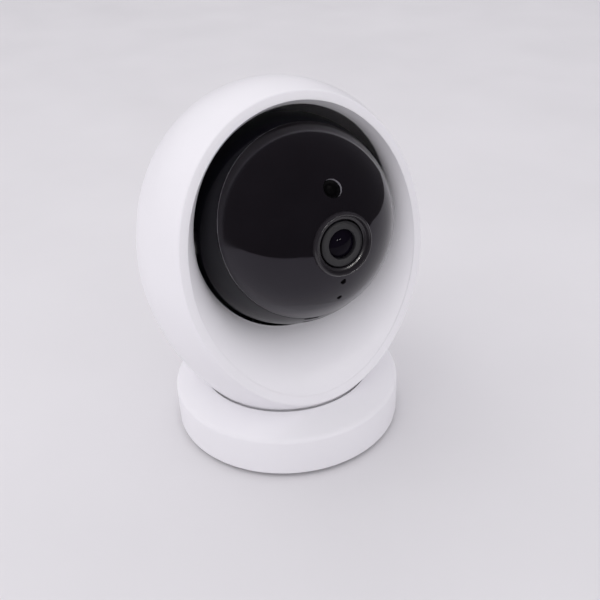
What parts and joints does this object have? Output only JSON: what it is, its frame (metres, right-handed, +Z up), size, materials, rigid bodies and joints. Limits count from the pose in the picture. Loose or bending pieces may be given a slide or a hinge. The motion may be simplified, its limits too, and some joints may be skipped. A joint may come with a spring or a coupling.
{
  "type": "baby monitor camera",
  "caption": "Free-standing pan and tilt baby monitor camera: round base, egg-shaped body that turns, and a black ball with the lens that tilts in its front opening.",
  "frame": {"origin": "centre of the foot pad's underside, on the pan axis, where the camera stands", "axes": "+Z up along the pan axis; -Y towards the lens at rest; +X to the right of someone facing the lens"},
  "size_m": [0.0858, 0.0814, 0.1111],
  "materials": {
    "white_abs": "satin white moulded shell",
    "black_gloss": "polished black, passes infrared light",
    "black_satin": "semi-gloss black moulding",
    "black_matte": "matte black",
    "coated_glass": "polished, multi-coated",
    "filter_glass": "polished filter glass",
    "grey_rubber": "matte, fine grained",
    "steel": "bright plated",
    "iron": "as cast, oiled",
    "acetal": "natural, self-lubricating",
    "circuit_board": "green solder mask",
    "led_epoxy": "clear moulded epoxy",
    "foam": "black foam"
  },
  "bodies": {
    "base": {"foot_pad": "grey_rubber", "base_bottom_cover": "white_abs", "base_housing": "white_abs", "base_screw_1": "steel", "base_screw_2": "steel", "base_screw_3": "steel", "power_socket": "steel", "inlet_board": "circuit_board", "base_weight": "iron", "pan_glide_ring": "acetal", "pan_fixed_gear": "acetal"},
    "body": {"turntable": "white_abs", "rear_shell": "white_abs", "front_bezel": "white_abs", "board_screw_1": "steel", "board_screw_2": "steel", "pan_motor": "steel", "pan_motor_screw_1": "steel", "pan_motor_screw_2": "steel", "yoke_screw_left": "steel", "yoke_screw_right": "steel", "tilt_motor_shaft": "steel", "main_board": "circuit_board", "wifi_antenna": "circuit_board", "pan_retaining_ring": "acetal", "yoke_left": "acetal", "yoke_right": "acetal", "tilt_hub": "acetal", "tilt_bush_right": "acetal", "speaker": "black_matte", "speaker_gasket": "foam"},
    "pan_drive": {"pan_pinion": "acetal", "pan_motor_shaft": "steel"},
    "camera_ball": {"ball_shell": "black_satin", "front_dome": "black_gloss", "lens_ring": "black_satin", "lens_barrel": "black_matte", "lens_front_glass": "coated_glass", "lens_holder": "black_matte", "sensor_board": "circuit_board", "sensor_screw_1": "steel", "sensor_screw_2": "steel", "ir_led_board": "circuit_board", "ir_led_1": "led_epoxy", "ir_led_2": "led_epoxy", "ir_led_3": "led_epoxy", "ir_led_4": "led_epoxy", "light_sensor_window": "black_gloss", "light_sensor": "led_epoxy", "status_light_pipe": "led_epoxy", "microphone": "steel", "card_socket": "steel", "reset_switch": "circuit_board", "tilt_motor": "steel", "tilt_motor_screw_1": "steel", "tilt_motor_screw_2": "steel", "tilt_bush_left": "acetal", "tilt_axle": "black_satin"},
    "ir_filter": {"ir_cut_filter": "filter_glass"},
    "reset": {"reset_button": "black_satin"}
  },
  "joints": [
    {"name": "pan", "type": "hinge", "parent": "base", "child": "body", "pos_m": [0, 0, 0.018], "axis": [0, 0, 1], "range_deg": [-177.5, 177.5]},
    {"name": "pan_pinion_spin", "type": "hinge", "parent": "body", "child": "pan_drive", "pos_m": [0, 0.0168, 0.0107], "axis": [0, 0, 1], "range_deg": [-535, 535]},
    {"name": "tilt", "type": "hinge", "parent": "body", "child": "camera_ball", "pos_m": [0, -0.00463, 0.07133], "axis": [-1, 0, 0], "range_deg": [-35, 60]},
    {"name": "ir_filter_shift", "type": "slide", "parent": "camera_ball", "child": "ir_filter", "axis": [1, 0, 0], "range_m": [0, 0.0042]},
    {"name": "reset_press", "type": "slide", "parent": "camera_ball", "child": "reset", "axis": [0, 0.4384, 0.8988], "range_m": [0, 0.0007], "stiffness_N_per_m": 400}
  ],
  "couplings": [
    {"joint": "pan_pinion_spin", "follows": "pan", "ratio": 3}
  ]
}
